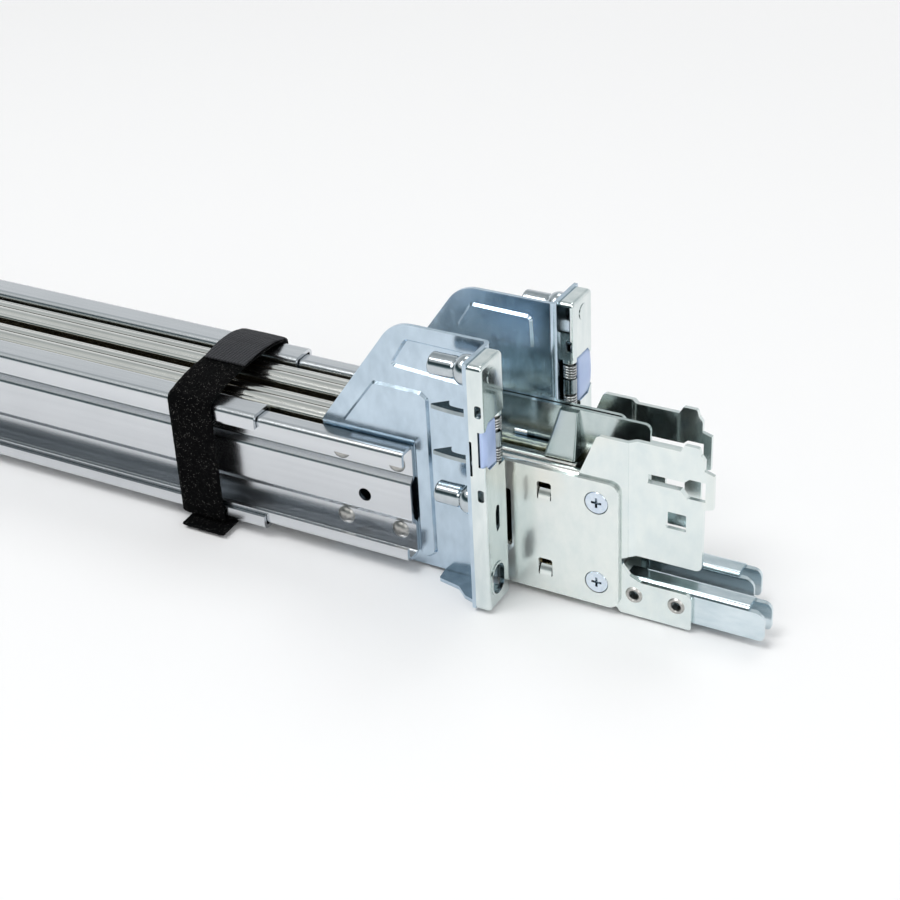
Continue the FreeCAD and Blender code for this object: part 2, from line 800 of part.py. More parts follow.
rear_pins = new_body("right_rear_pins")
for pin_name, z in (("Upper", upper_pin), ("Lower", lower_pin)):
    radius = size("pin_diameter") / 2
    base = size("pin_base_diameter") / 2
    base_x = -size("pin_base_length")
    chamfer = size("pin_chamfer")
    turned_along(rear_pins, pin_name + "Pin", "Sizes.pin_outboard", z,
                 [(-size("pin_length"), radius - chamfer),
                  ("arc", -size("pin_length") + 0.3 * chamfer, radius - 0.3 * chamfer),
                  (-size("pin_length") + chamfer, radius), (base_x - 0.6, radius), (base_x, radius - 0.4),
                  ("arc", 0.5 * base_x, base), (0, radius + 0.3), (0, pin_rivet), (thick, pin_rivet)])

# Latch cover, latch, button and hinge

hinge_x = size("hinge_x")
hinge_w = size("hinge_outboard")
front_face = thick + size("cover_depth")
cover_wall = size("cover_wall")
edge = size("flange_edge")
cover = new_body("right_rear_latch_cover")
cover_in = size("cover_inboard")
cover_low = size("cover_bottom")
cover_high = size("cover_top")
button_low = size("button_bottom")
button_high = size("button_top")
play = size("button_play")
cut = size("button_corner")
lug_top = size("spring_top") + size("latch_gap")
lug_bottom = size("spring_bottom") - size("latch_gap")
lug = size("lug_thickness")
notch_inner = size("button_inboard") - 0.3
notch_low = button_low - play
notch_high = button_high + play
window_x = front_face - 0.5 - size("window_width")
block = pad(cover, "CoverBlock", "YZ_Plane", "Sizes.bracket_thickness", "Sizes.cover_depth",
            [box_section(cover_in, cover_low, edge, cover_high, size("cover_corner"))])
rounded(cover, "FrontRound", block, "Sizes.cover_round", lambda box: box.XMin > front_face - 0.01)
pocket(cover, "CoverCavity", "YZ_Plane", "Sizes.bracket_thickness - 1",
       "Sizes.cover_depth - Sizes.cover_wall + 1",
       [box_section(cover_in + cover_wall, cover_low + cover_wall, edge - cover_wall,
                    cover_high - cover_wall, 0.6)])
pocket(cover, "ButtonNotch", "YZ_Plane", "Sizes.bracket_thickness + Sizes.cover_depth - Sizes.notch_depth",
       "Sizes.notch_depth + 2",
       [section([(cover_in - 1, lug_bottom), (notch_inner, lug_bottom), (notch_inner, notch_low),
                 (edge - cover_wall - cut, notch_low), (edge - cover_wall - 0.4, notch_low + cut),
                 (edge + 1, notch_low + cut),
                 (edge + 1, notch_high - cut), (edge - cover_wall - 0.4, notch_high - cut),
                 (edge - cover_wall - cut, notch_high), (cover_in - 1, notch_high)])])
ear_high = notch_high
ear = size("cover_ear_height")
pocket(cover, "InboardOpenings", "XZ_Plane", "Sizes.cover_inboard - 1", "Sizes.cover_wall + 2",
       [rectangle(0, lug_bottom, front_face + 1, notch_high),
        rectangle(0, ear_high + ear, front_face - cover_wall, cover_high - cover_wall),
        rectangle(0, cover_low + cover_wall, front_face - cover_wall, lug_bottom - ear)])
windows = [rectangle(window_x, z, window_x + size("window_width"), z + size("window_height"), 0.8)
           for z in (size("upper_window_height"), size("lower_window_height"))]
pocket(cover, "InboardWindows", "XZ_Plane", "Sizes.cover_inboard - 1", "Sizes.cover_wall + 1.6", windows)
pocket(cover, "OutboardWindows", "XZ_Plane", "Sizes.flange_edge - Sizes.cover_wall - 0.6",
       "Sizes.cover_wall + 1.6", windows)
pocket(cover, "EdgeRelief", "XZ_Plane", "Sizes.flange_edge - Sizes.cover_wall - 0.5",
       "Sizes.cover_wall + 1.5",
       [rectangle(thick - 1, lug_bottom, thick + 0.8, button_high - 5, 0.4)])
hole_reach = size("adjuster_hole_width") / 2
hole_half = size("adjuster_hole_height") / 2 - hole_reach
adjuster_w = size("adjuster_outboard")
adjuster_z = size("adjuster_height")


def tall_hole(reach):
    # upright hole with half-round ends over the screw bore
    low, high = adjuster_z - hole_half, adjuster_z + hole_half
    return section([(adjuster_w - reach, low), ("arc", adjuster_w, low - reach), (adjuster_w + reach, low),
                    (adjuster_w + reach, high), ("arc", adjuster_w, high + reach), (adjuster_w - reach, high)])


rim_width = 0.7
pin_boss_radius = 2.6
pad(cover, "HoleRim", "YZ_Plane", "Sizes.bracket_thickness + Sizes.cover_depth - 0.1", "0.4",
    [tall_hole(hole_reach + rim_width)])
pad(cover, "PinBoss", "YZ_Plane", "Sizes.bracket_thickness + Sizes.cover_depth - 0.1", "0.3",
    [circle(-size("pin_outboard"), upper_pin, pin_boss_radius)])
pocket(cover, "AdjusterHole", "YZ_Plane", "Sizes.bracket_thickness + 1", "Sizes.cover_depth",
       [tall_hole(hole_reach)])
pointed_slot = [(22.5, 28.5), (24.1, 27.1, 0.4), (24.9, 30.0, 1.5), (24.9, 34.4, 1.5), (24.0, 37.0, 0.5),
                (22.5, 36.0)]
pocket(cover, "PointedSlot", "YZ_Plane", "Sizes.bracket_thickness + 1", "Sizes.cover_depth",
       [section(pointed_slot)])
lug_radius = size("knuckle_radius")
for lug_name, z in (("UpperLug", lug_top), ("LowerLug", lug_bottom - lug)):
    pad(cover, lug_name, "XY_Plane", "%s" % z, "Sizes.lug_thickness", [circle(hinge_x, -hinge_w, lug_radius)])
pocket(cover, "HingeBore", "XY_Plane", "Sizes.spring_bottom - 5",
       "Sizes.spring_top - Sizes.spring_bottom + 10",
       [circle(hinge_x, -hinge_w, size("hinge_pin_diameter") / 2 + size("hinge_fit"))])

latch = new_body("right_rear_latch")
arm_x = thick + size("latch_gap")
arm_thick = size("latch_thickness")
pad(latch, "LatchArm", "YZ_Plane", "Sizes.bracket_thickness + Sizes.latch_gap", "Sizes.latch_thickness",
    [box_section(size("latch_inboard"), size("latch_bottom"), size("latch_outboard"), size("latch_top"),
                 1.0)])
pad(latch, "LatchLink", "YZ_Plane", "Sizes.bracket_thickness + Sizes.latch_gap", "Sizes.latch_thickness",
    [box_section(hinge_w, size("knuckle_bottom"), size("latch_inboard") + 1, size("knuckle_top"))])
pad(latch, "LatchKnuckle", "XY_Plane", "Sizes.knuckle_bottom", "Sizes.knuckle_top - Sizes.knuckle_bottom",
    [circle(hinge_x, -hinge_w, size("knuckle_radius"))])
pocket(latch, "KnuckleBore", "XY_Plane", "Sizes.knuckle_bottom - 1",
       "Sizes.knuckle_top - Sizes.knuckle_bottom + 2",
       [circle(hinge_x, -hinge_w, size("hinge_pin_diameter") / 2 + size("hinge_fit"))])
claw_out = size("latch_outboard") - 0.3
barb_x = -size("claw_catch")
barb_w = size("barb_outboard")
notch_w = size("notch_outboard")
claw_tip = (-size("claw_reach"), size("claw_tip_outboard"))
claw_root = arm_x + 0.4
claw_shape = [(claw_root, claw_out), (0, claw_out), ("arc", 0.68 * claw_tip[0], claw_out - 0.25),
              (claw_tip[0], claw_tip[1] + 0.4), (claw_tip[0], claw_tip[1] - 0.3), (barb_x, barb_w),
              ("arc", barb_x + 0.5, 0.5 * (barb_w + notch_w)), (barb_x + 1.6, notch_w),
              ("arc", 0.45 * barb_x, notch_w + 0.35), (0, notch_w - 0.4), (claw_root, notch_w - 0.6)]
for claw_name, drop in (("UpperClaw", "Sizes.upper_claw_drop"), ("LowerClaw", "Sizes.lower_claw_drop")):
    pad(latch, claw_name, "XY_Plane", "Sizes.upper_pin_height - %s - Sizes.claw_thickness / 2" % drop,
        "Sizes.claw_thickness", [plan(claw_shape)])

button = new_body("right_rear_latch_button")
bulge = front_face + size("button_bulge")
back_x = arm_x + arm_thick
inboard = size("button_inboard")
outboard = size("button_outboard")
button_back = front_face - size("notch_depth") + 0.3
pad(button, "ButtonRoot", "YZ_Plane", "Sizes.bracket_thickness + Sizes.latch_gap + Sizes.latch_thickness",
    "Sizes.cover_depth - Sizes.latch_gap - Sizes.latch_thickness - 0.5",
    [box_section(inboard, button_low + 0.3, outboard - 0.4, button_high - 0.3, 0.5)])
middle_z = 0.5 * (button_low + button_high)
pad(button, "ButtonFace", "XZ_Plane", "Sizes.button_inboard", "Sizes.button_outboard - Sizes.button_inboard",
    [outline([(button_back, button_low), (front_face - 0.2, button_low), ("arc", bulge, middle_z),
              (front_face - 0.2, button_high), (button_back, button_high)])])
pocket(button, "ButtonCorners", "YZ_Plane", "Sizes.bracket_thickness",
       "Sizes.cover_depth + Sizes.button_bulge + 4",
       [section([(outboard + 1, side_z - sign), (outboard - cut, side_z - sign), (outboard - cut, side_z),
                 (outboard, side_z + sign * 1.15 * cut), (outboard + 1, side_z + sign * 1.15 * cut)])
        for side_z, sign in ((button_low, 1), (button_high, -1))])


def turned_upright(body, name, steps):
    # steps are (radius, height) about the latch hinge
    points = [(hinge_x, steps[0][1])]
    for radius, z in steps:
        points.append((hinge_x + radius, z))
    points.append((hinge_x, steps[-1][1]))
    return revolve(body, name, "XZ_Plane", "Sizes.hinge_outboard", [outline(points)], (hinge_x, 0), (0, 1))


hinge_pin = new_body("right_rear_hinge_pin")
pin_r = size("hinge_pin_diameter") / 2
turned_upright(hinge_pin, "HingePin", [(pin_r - 0.3, lug_bottom - lug - 0.3), (pin_r, lug_bottom - lug),
                                       (pin_r, lug_top + lug), (pin_r - 0.3, lug_top + lug + 0.3)])

springs = new_body("right_rear_springs")
wire = size("spring_wire")
spring_bore = pin_r + 0.2
spring_spans = (("UpperSpring", size("knuckle_top") + size("latch_gap"), size("spring_top")),
                ("LowerSpring", size("spring_bottom"), size("knuckle_bottom") - size("latch_gap")))
for spring_name, low, high in spring_spans:
    turns = int((high - low) / wire)
    pitch = (high - low) / turns
    profile = [(hinge_x + spring_bore, low)]
    for i in range(turns):
        base_z = low + i * pitch
        profile.append((hinge_x + spring_bore + 0.3 * wire, base_z))
        profile.append((hinge_x + spring_bore + wire, base_z + 0.5 * pitch))
    profile.append((hinge_x + spring_bore + 0.3 * wire, high))
    profile.append((hinge_x + spring_bore, high))
    revolve(springs, spring_name, "XZ_Plane", "Sizes.hinge_outboard", [outline(profile)], (hinge_x, 0),
            (0, 1))

# Cable-arm end: base plate, receiver, guide channel, inner plate and screws

base_plate = new_body("right_cma_base_plate")
screw_spots = [(size("screw_x"), size("upper_screw_height")), (size("screw_x"), size("lower_screw_height"))]
screw_r = size("screw_shank") / 2
plate_t = size("base_plate_thickness")
pad(base_plate, "BasePlate", "XZ_Plane", "Sizes.base_plate_back", "Sizes.base_plate_thickness",
    [rectangle(-size("base_plate_front"), size("base_plate_bottom"), size("base_plate_rear"),
               size("base_plate_top"), 3.5)])
pocket(base_plate, "SlotAndHookWindows", "XZ_Plane", "Sizes.base_plate_back - 1",
       "Sizes.base_plate_thickness + 2", end_windows)
tongue = size("tongue_thickness")
tongue_reach = 0.55 * size("hook_height")
for tongue_name, z in (("UpperTongue", size("upper_hook_height")),
                       ("LowerTongue", size("lower_hook_height"))):
    pad(base_plate, tongue_name, "YZ_Plane", "Sizes.hook_x + 0.4", "Sizes.hook_width - 0.8",
        [section([(base_w + plate_t, z - 0.2), ("arc", base_w + 0.75 * plate_t, z + 0.55 * tongue_reach),
                  (base_w - 0.1, z + tongue_reach), (base_w - 0.1, z + tongue_reach - tongue),
                  ("arc", base_w + 0.25 * plate_t, z + 0.3 * tongue_reach),
                  (base_w + plate_t - tongue, z - 0.2)])])


def screw_steps(fit, inner_end):
    head = size("screw_head") / 2
    rim = 0 if fit else size("screw_rim")
    return [(inner_end, screw_r + fit), (base_w, screw_r + fit),
            (base_w + plate_t - size("screw_rim"), head + fit),
            (base_w + plate_t, head + fit - rim)]


for i, (x, z) in enumerate(screw_spots):
    revolve(base_plate, "ScrewSink%d" % (i + 1), "YZ_Plane", "%s" % x,
            [head_profile(z, screw_steps(size("hinge_fit"), base_w - 1))], (0, z), (1, 0), "Groove")

screws = new_body("right_cma_screws")
for i, (x, z) in enumerate(screw_spots):
    turned_across(screws, "Screw%d" % (i + 1), "%s" % x, z, screw_steps(0, receiver_inner - 1.5))
cross = []
for x, z in screw_spots:
    cross.append(outline([(x - 1.7, z - 0.4), (x - 0.4, z - 0.4), (x - 0.4, z - 1.7), (x + 0.4, z - 1.7),
                          (x + 0.4, z - 0.4), (x + 1.7, z - 0.4), (x + 1.7, z + 0.4), (x + 0.4, z + 0.4),
                          (x + 0.4, z + 1.7), (x - 0.4, z + 1.7), (x - 0.4, z + 0.4), (x - 1.7, z + 0.4)]))
pocket(screws, "DriverRecesses", "XZ_Plane", "Sizes.base_plate_back + Sizes.base_plate_thickness - 1.1", "2",
       cross)

receiver = new_body("right_cma_receiver")
jog_x = size("receiver_jog_x")
panel_low = size("receiver_panel_bottom")
top = size("receiver_top")
arm_end = size("arm_rear")
arm_high = size("arm_top")
left_x = size("slide_rear_reach") + 0.6
pad(receiver, "ReceiverPlate", "XZ_Plane", "Sizes.base_plate_back - Sizes.receiver_thickness",
    "Sizes.receiver_thickness",
    [outline([(left_x, size("base_plate_bottom")), (41.0, size("base_plate_bottom"), 1),
              (42.0, size("receiver_bottom")),
              (arm_end, size("receiver_bottom"), 1), (arm_end, arm_high - 1.5, 1), (arm_end - 1.8, arm_high),
              (48.6, arm_high, 2), (45.0, 15.4, 2), (42.4, 18.6, 2), (42.4, 21.0, 0.5), (jog_x, panel_low),
              (jog_x, top),
              (left_x + 6.2, top, 1.5), (left_x, 47.0)])])
jog = size("receiver_jog")
jog_path = sheet_section([(jog_x - 0.8, base_w), (jog_x, base_w), (jog_x + jog, base_w - jog),
                          (size("receiver_rear") + size("tab_reach"), base_w - jog)],
                         size("receiver_thickness"), 0.6)
pad(receiver, "JoggedPanel", "XY_Plane", "Sizes.receiver_panel_bottom",
    "Sizes.receiver_top - Sizes.receiver_panel_bottom", [plan(jog_path)])
panel = size("receiver_rear")
tab_low = size("tab_bottom")
tab_high = size("tab_top")
raised = top + 2.3
pad(receiver, "RaisedTab", "XZ_Plane",
    "Sizes.base_plate_back - Sizes.receiver_thickness - Sizes.receiver_jog", "Sizes.receiver_thickness",
    [outline([(59.4, top - 1), (60.0, top), (61.2, raised, 0.5), (65.6, raised, 0.8), (66.6, top - 1)])])
cut_level = "Sizes.base_plate_back - Sizes.receiver_thickness - Sizes.receiver_jog - 1"
cut_depth = "Sizes.receiver_thickness + Sizes.receiver_jog + 3"
pocket(receiver, "TopEdgeCut", "XZ_Plane", cut_level, cut_depth,
       [outline([(66.3, top + 3), (66.3, top + 0.1), (panel, top - 1.5, 0.5), (panel, tab_high + 0.6),
                 (panel + 5, tab_high - 1.0), (panel + 5, top + 3)])])
pocket(receiver, "RearEdgeCut", "XZ_Plane", cut_level, cut_depth,
       [outline([(panel + 5, tab_low + 1.0), (panel, tab_low - 0.6), (panel, panel_low, 2),
                 (panel - 6, panel_low), (panel - 6, panel_low - 2), (panel + 5, panel_low - 2)])])
pocket(receiver, "KeyholeSlot", "XZ_Plane", cut_level, cut_depth,
       [outline([(50.0, 49.2), (60.4, 49.2), (62.6, 46.6, 0.8), (68.0, 46.6), (68.0, 53.2), (62.9, 53.2, 0.6),
                 (61.5, 51.9), (50.0, 51.9)])])
pad(receiver, "KeyholeLip", "XZ_Plane", "Sizes.base_plate_back - Sizes.receiver_jog - 0.1", "0.8",
    [outline([(50.0, 49.2), (60.4, 49.2), (62.6, 46.6), (61.9, 45.9), (60.0, 48.2), (50.0, 48.2)])])
pocket(receiver, "SquareWindow", "XZ_Plane", cut_level, cut_depth,
       [rectangle(55.8, 34.8, 62.2, 40.5, 0.4)])
receiver_holes = [circle(x, size("eyelet_height"), eyelet_shank + size("hinge_fit")) for x in eyelet_spots]
for x, z in screw_spots:
    receiver_holes.append(circle(x, z, screw_r + size("hinge_fit")))
for z in spacer_heights:
    receiver_holes.append(circle(size("spacer_x"), z, spacer_shank + size("hinge_fit")))
pocket(receiver, "FastenerHoles", "XZ_Plane", cut_level, cut_depth, receiver_holes)

guide = new_body("right_cma_guide_channel")
guide_far = receiver_inner - size("guide_width")
guide_low = size("guide_bottom")
guide_high = size("guide_top")
pad(guide, "GuideSection", "YZ_Plane", "Sizes.guide_front", "Sizes.guide_rear - Sizes.guide_front",
    [section(sheet_section([(guide_far, guide_low), (guide_far, guide_high), (receiver_inner, guide_high),
                            (receiver_inner, guide_low)], size("guide_wall"), 0.6))])
roof_end = size("guide_top_rear")
guide_end = size("guide_rear")
web_high = guide_high - size("guide_wall")
pocket(guide, "RoundedEnds", "XZ_Plane", "0", "Sizes.base_plate_back",
       [outline([(roof_end, guide_high + 2), (roof_end, web_high), (guide_end, web_high, 3.0),
                 (guide_end, guide_low, 1.5), (roof_end, guide_low), (roof_end, guide_low - 2),
                 (guide_end + 3, guide_low - 2), (guide_end + 3, guide_high + 2)])])
pocket(guide, "EyeletHoles", "XZ_Plane",
       "Sizes.base_plate_back - Sizes.receiver_thickness - Sizes.guide_wall - 1", "Sizes.guide_wall + 2",
       [circle(x, size("eyelet_height"), eyelet_shank + size("hinge_fit")) for x in eyelet_spots])

inner_plate = new_body("right_cma_inner_plate")
plate_front = -size("inner_plate_front")
plate_rear = size("inner_plate_rear")
plate_low = size("inner_plate_bottom")
plate_top = size("inner_plate_top")
pad(inner_plate, "InnerPlate", "XZ_Plane", "Sizes.inner_plate_inner", "Sizes.inner_plate_thickness",
    [rectangle(plate_front, plate_low, plate_rear, plate_top, size("inner_plate_corner"))])
gusset_foot = size("slide_half_height") + AXIS + size("strap_clearance")
gusset_head = plate_top - 0.6
gusset_rear = size("gusset_rear")
gusset_face = inner_plate_face + size("gusset_depth")
pad(inner_plate, "Gusset", "XZ_Plane", "Sizes.inner_plate_inner + Sizes.inner_plate_thickness - 0.1",
    "Sizes.gusset_depth + 0.1",
    [outline([(size("gusset_foot_front"), gusset_foot), (gusset_rear + 0.5, gusset_foot),
              (gusset_rear, gusset_head), (size("gusset_head_front"), gusset_head)])])
slope = pocket(inner_plate, "GussetSlope", "YZ_Plane", "Sizes.gusset_foot_front - 2", "Sizes.gusset_rear",
               [section([(inner_plate_face + 1.2, gusset_head + 1), (gusset_face + 0.1, gusset_foot - 0.1),
                         (gusset_face + 2, gusset_foot - 0.1), (gusset_face + 2, gusset_head + 1)])])
rounded(inner_plate, "GussetRound", slope, "0.9",
        lambda box: box.ZLength > 10 and box.YLength > 2 and box.XMin > 10 and box.XMax < 30)
slot_left = size("plate_slot_x")
slot_low = size("plate_slot_bottom")
pocket(inner_plate, "PlateSlot", "XZ_Plane", "Sizes.inner_plate_inner - 1", "Sizes.inner_plate_thickness + 2",
       [outline([(slot_left, slot_low, 0.6), (slot_left + size("plate_slot_length"), slot_low),
                 (slot_left + size("plate_slot_length"), slot_low + size("plate_slot_height")),
                 (slot_left, slot_low + size("plate_slot_height"), 0.6)])]
       + [circle(size("spacer_x"), z, spacer_shank + size("hinge_fit")) for z in spacer_heights])

# Lever on the inner member that frees the chassis rail

pivot_x = size("slide_rear_reach") - size("inner_setback") - size("lever_pivot_gap")
turned_across(inner_member, "LeverPivot", "%s" % pivot_x, AXIS,
              [(0.45, 2.6), (0.65, 2.8), (0.75, 2.8), (0.75, 1.5), (inner_face + 0.5, 1.5)])
lever = new_body("right_slide_release_lever")
lever_w = size("lever_width")
lever_tip = pivot_x - size("lever_length")
lever_head = pivot_x + 0.5 * lever_w
pad(lever, "LeverBar", "XZ_Plane", "0.78", "Sizes.lever_thickness",
    [outline([(lever_tip, AXIS - 0.35 * lever_w, 1.5), (lever_head, AXIS - 0.5 * lever_w, 2.8),
              (lever_head, AXIS + 0.5 * lever_w, 2.8), (lever_tip, AXIS + 0.35 * lever_w, 1.5)]),
     circle(pivot_x, AXIS, 1.5 + size("hinge_fit"))])

# Front latch set and the left rail are mirror images

front_plane = ORIGIN_X + " - Sizes.post_span / 2"
fixed_front = []
for piece, source in (("pins", rear_pins), ("latch_cover", cover), ("latch", latch), ("latch_button", button),
                      ("hinge_pin", hinge_pin), ("springs", springs)):
    fixed_front.append(mirrored("right_front_" + piece, source, (1, 0, 0), front_plane, "0"))

moves_with_bracket = (tele, rear_bracket, rear_bracket_rivets, rear_pins, cover, latch, button, hinge_pin,
                      springs)
for source in list(nodes):
    shift = "-Sizes.left_fixed_shift"
    if source in moves_with_bracket:
        shift = "Sizes.left_bracket_shift"
    mirrored(source.Label.replace("right_", "left_"), source, (0, 1, 0), "0", shift)

# Strap round both rails

strap = new_body("strap")
reach_w = sleeve_face + size("strap_clearance")
reach_low = AXIS - size("sleeve_half_height") - size("strap_clearance")
reach_high = AXIS + size("sleeve_half_height") + size("strap_clearance")
band = size("strap_thickness")
arch = size("strap_arch")


def strap_loop(grow, corner):
    # closed run round both rails whose top rises in a low arch
    side_w = reach_w + grow
    top_z = reach_high + grow
    low_z = reach_low - grow
    return section([(-side_w, low_z, corner), (side_w, low_z, corner), (side_w, top_z - 1.5),
                    (side_w - 1.5, top_z), ("arc", 0, top_z + arch), (-side_w + 1.5, top_z),
                    (-side_w, top_z - 1.5)])


pad(strap, "StrapBand", "YZ_Plane", "-Sizes.strap_x - Sizes.strap_width / 2", "Sizes.strap_width",
    [strap_loop(band, 2.2), strap_loop(0, 0.8)])
pad(strap, "StrapTail", "YZ_Plane", "-Sizes.strap_x - Sizes.strap_width / 2 + 3", "Sizes.strap_width",
    [section([(reach_w + 0.2, reach_low - band), (reach_w + size("strap_tail"), reach_low - band - 0.6),
              (reach_w + size("strap_tail"), reach_low - band + 0.8), (reach_w + 0.2, reach_low)])])

doc.recompute()
for item in doc.Objects:
    if "Invalid" in item.State or "Error" in item.State:
        raise RuntimeError("not built: " + item.Name)
for node in nodes:
    if node.Shape.isNull() or not node.Shape.isValid():
        raise RuntimeError("bad shape: " + node.Label)

os.makedirs("parts", exist_ok=True)
for node in nodes:
    node.Shape.exportStep("parts/" + node.Label + ".step")
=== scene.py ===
import json
import math
import random
import bpy
import bmesh
from mathutils import Matrix, Vector

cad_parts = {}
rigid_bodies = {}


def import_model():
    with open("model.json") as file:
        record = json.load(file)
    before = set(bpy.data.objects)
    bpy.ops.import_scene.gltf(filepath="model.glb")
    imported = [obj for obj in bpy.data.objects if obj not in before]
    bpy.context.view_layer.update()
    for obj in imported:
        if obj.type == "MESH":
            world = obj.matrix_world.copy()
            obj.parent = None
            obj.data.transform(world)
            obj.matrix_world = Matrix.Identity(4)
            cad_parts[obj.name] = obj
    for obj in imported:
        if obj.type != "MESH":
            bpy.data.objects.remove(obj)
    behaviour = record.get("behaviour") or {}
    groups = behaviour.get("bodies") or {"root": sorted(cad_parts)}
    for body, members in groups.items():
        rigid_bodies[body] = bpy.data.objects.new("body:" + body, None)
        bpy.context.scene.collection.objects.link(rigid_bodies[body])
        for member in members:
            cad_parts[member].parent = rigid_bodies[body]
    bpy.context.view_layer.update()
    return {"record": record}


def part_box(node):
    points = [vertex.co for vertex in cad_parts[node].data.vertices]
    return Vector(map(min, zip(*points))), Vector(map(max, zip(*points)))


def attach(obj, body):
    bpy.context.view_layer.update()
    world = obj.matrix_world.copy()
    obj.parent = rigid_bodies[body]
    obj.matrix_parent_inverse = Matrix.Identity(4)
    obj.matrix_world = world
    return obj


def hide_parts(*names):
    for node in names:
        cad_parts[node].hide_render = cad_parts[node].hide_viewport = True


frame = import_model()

scene = bpy.context.scene
MM = 0.001

# Camera, fitted to the perspective of the rails

AZIMUTH = math.radians(30.33)
ELEVATION = math.radians(30.61)
ROLL = math.radians(-2.94)
CAMERA_PLACE = (0.51495, -0.4343, 0.3337)
SENSOR_WIDTH = 36
FOCAL_LENGTH = 73.2
back = Vector((math.sin(AZIMUTH) * math.cos(ELEVATION), -math.cos(AZIMUTH) * math.cos(ELEVATION),
               math.sin(ELEVATION)))
level_right = Vector((math.cos(AZIMUTH), math.sin(AZIMUTH), 0))
level_up = back.cross(level_right)
right = level_right * math.cos(ROLL) + level_up * math.sin(ROLL)
up = level_up * math.cos(ROLL) - level_right * math.sin(ROLL)
camera_data = bpy.data.cameras.new("camera")
camera_data.sensor_width = SENSOR_WIDTH
camera_data.lens = FOCAL_LENGTH
camera_data.clip_start = 10 * MM
camera = bpy.data.objects.new("camera", camera_data)
scene.collection.objects.link(camera)
camera.matrix_world = Matrix([*zip(right, up, back, CAMERA_PLACE), (0, 0, 0, 1)])
scene.camera = camera
scene.view_settings.view_transform = "Standard"

# Shader nodes

WHITE = (1, 1, 1)
BLACK = (0, 0, 0)


def principled(name):
    material = bpy.data.materials.new(name)
    material.use_nodes = True
    tree = material.node_tree
    return material, tree, tree.nodes["Principled BSDF"]


def node(tree, kind, **settings):
    made = tree.nodes.new(kind)
    for key, value in settings.items():
        setattr(made, key, value)
    return made


def feed(tree, value, socket):
    """Links an output to the socket, or sets the socket to a number or a colour."""
    if hasattr(value, "is_output"):
        tree.links.new(value, socket)
    elif isinstance(value, tuple):
        socket.default_value = (*value, 1)
    else:
        socket.default_value = value


def calculate(tree, operation, *values):
    made = node(tree, "ShaderNodeMath", operation=operation)
    for value, socket in zip(values, made.inputs):
        feed(tree, value, socket)
    return made.outputs["Value"]


def fitted(tree, value, from_low, from_high, to_low=0, to_high=1, **settings):
    """Maps the span from_low to from_high onto the span to_low to to_high."""
    made = node(tree, "ShaderNodeMapRange", **settings)
    feed(tree, value, made.inputs["Value"])
    made.inputs["From Min"].default_value = from_low
    made.inputs["From Max"].default_value = from_high
    made.inputs["To Min"].default_value = to_low
    made.inputs["To Max"].default_value = to_high
    return made.outputs["Result"]


def ramp(tree, source, stops):
    """A colour ramp through (position, colour) stops."""
    made = node(tree, "ShaderNodeValToRGB")
    elements = made.color_ramp.elements
    while len(elements) < len(stops):
        elements.new(0.5)
    for element, (position, colour) in zip(elements, stops):
        element.position = position
        element.color = (*colour, 1)
    feed(tree, source, made.inputs["Fac"])
    return made.outputs["Color"]


def mix(tree, factor, first, second, blend="MIX"):
    made = node(tree, "ShaderNodeMix", data_type="RGBA", blend_type=blend)
    feed(tree, factor, made.inputs["Factor"])
    feed(tree, first, made.inputs["A"])
    feed(tree, second, made.inputs["B"])
    return made.outputs["Result"]


def object_place(tree, scale=(1, 1, 1)):
    """The object's own coordinates, scaled, so a pattern stays on a piece that moves."""
    place = node(tree, "ShaderNodeTexCoord")
    mapping = node(tree, "ShaderNodeMapping")
    mapping.inputs["Scale"].default_value = scale
    feed(tree, place.outputs["Object"], mapping.inputs["Vector"])
    return mapping.outputs["Vector"]


def noise(tree, vector, scale, detail, roughness=0.5):
    made = node(tree, "ShaderNodeTexNoise")
    made.inputs["Scale"].default_value = scale
    made.inputs["Detail"].default_value = detail
    made.inputs["Roughness"].default_value = roughness
    feed(tree, vector, made.inputs["Vector"])
    return made.outputs["Fac"]


def relief(tree, shader, height, strength, distance):
    made = node(tree, "ShaderNodeBump")
    made.inputs["Strength"].default_value = strength
    made.inputs["Distance"].default_value = distance
    feed(tree, height, made.inputs["Height"])
    feed(tree, made.outputs["Normal"], shader.inputs["Normal"])


# Metals: two tones in clouds and rolling streaks, tinted patches, and painted shade, a darker colour where
# little light gets in

ROLLED = (0.02, 1, 1)


def metal(name, dark, light, rough, grain, bump, stretch=(1, 1, 1), tint=None, metallic=1,
          crevice_shade=(0.30, 0.33, 0.33), shade_reach=1.6 * MM):
    material, tree, shader = principled(name)
    place = object_place(tree)
    clouds = noise(tree, place, scale=55, detail=3)
    streaks = noise(tree, object_place(tree, stretch), grain, detail=5, roughness=0.6)
    cloud_share = 0.5
    both = calculate(tree, "MULTIPLY_ADD", clouds, cloud_share, streaks)
    tone = calculate(tree, "SUBTRACT", both, cloud_share / 2)
    colour = ramp(tree, tone, [(0.3, dark), (0.7, light)])
    if tint:
        patches = noise(tree, place, scale=22, detail=2)
        mask = ramp(tree, patches, [(0.5, BLACK), (0.68, (0.5, 0.5, 0.5))])
        colour = mix(tree, mask, colour, tint)
    # Painted shade: the colour is darkened towards the crevice colour where ambient occlusion finds
    # creases, recesses and gaps between parts
    light_in = node(tree, "ShaderNodeAmbientOcclusion", samples=6)
    light_in.inputs["Distance"].default_value = shade_reach
    painted_crevice_shade = ramp(tree, light_in.outputs["AO"], [(0.18, crevice_shade), (0.66, WHITE)])
    feed(tree, mix(tree, 1.0, colour, painted_crevice_shade, "MULTIPLY"), shader.inputs["Base Color"])
    shader.inputs["Metallic"].default_value = metallic
    roughness = fitted(tree, streaks, from_low=0.3, from_high=0.7, to_low=rough[0], to_high=rough[1])
    feed(tree, roughness, shader.inputs["Roughness"])
    relief(tree, shader, streaks, strength=bump, distance=0.2 * MM)
    return material


# Plastic of the release pads


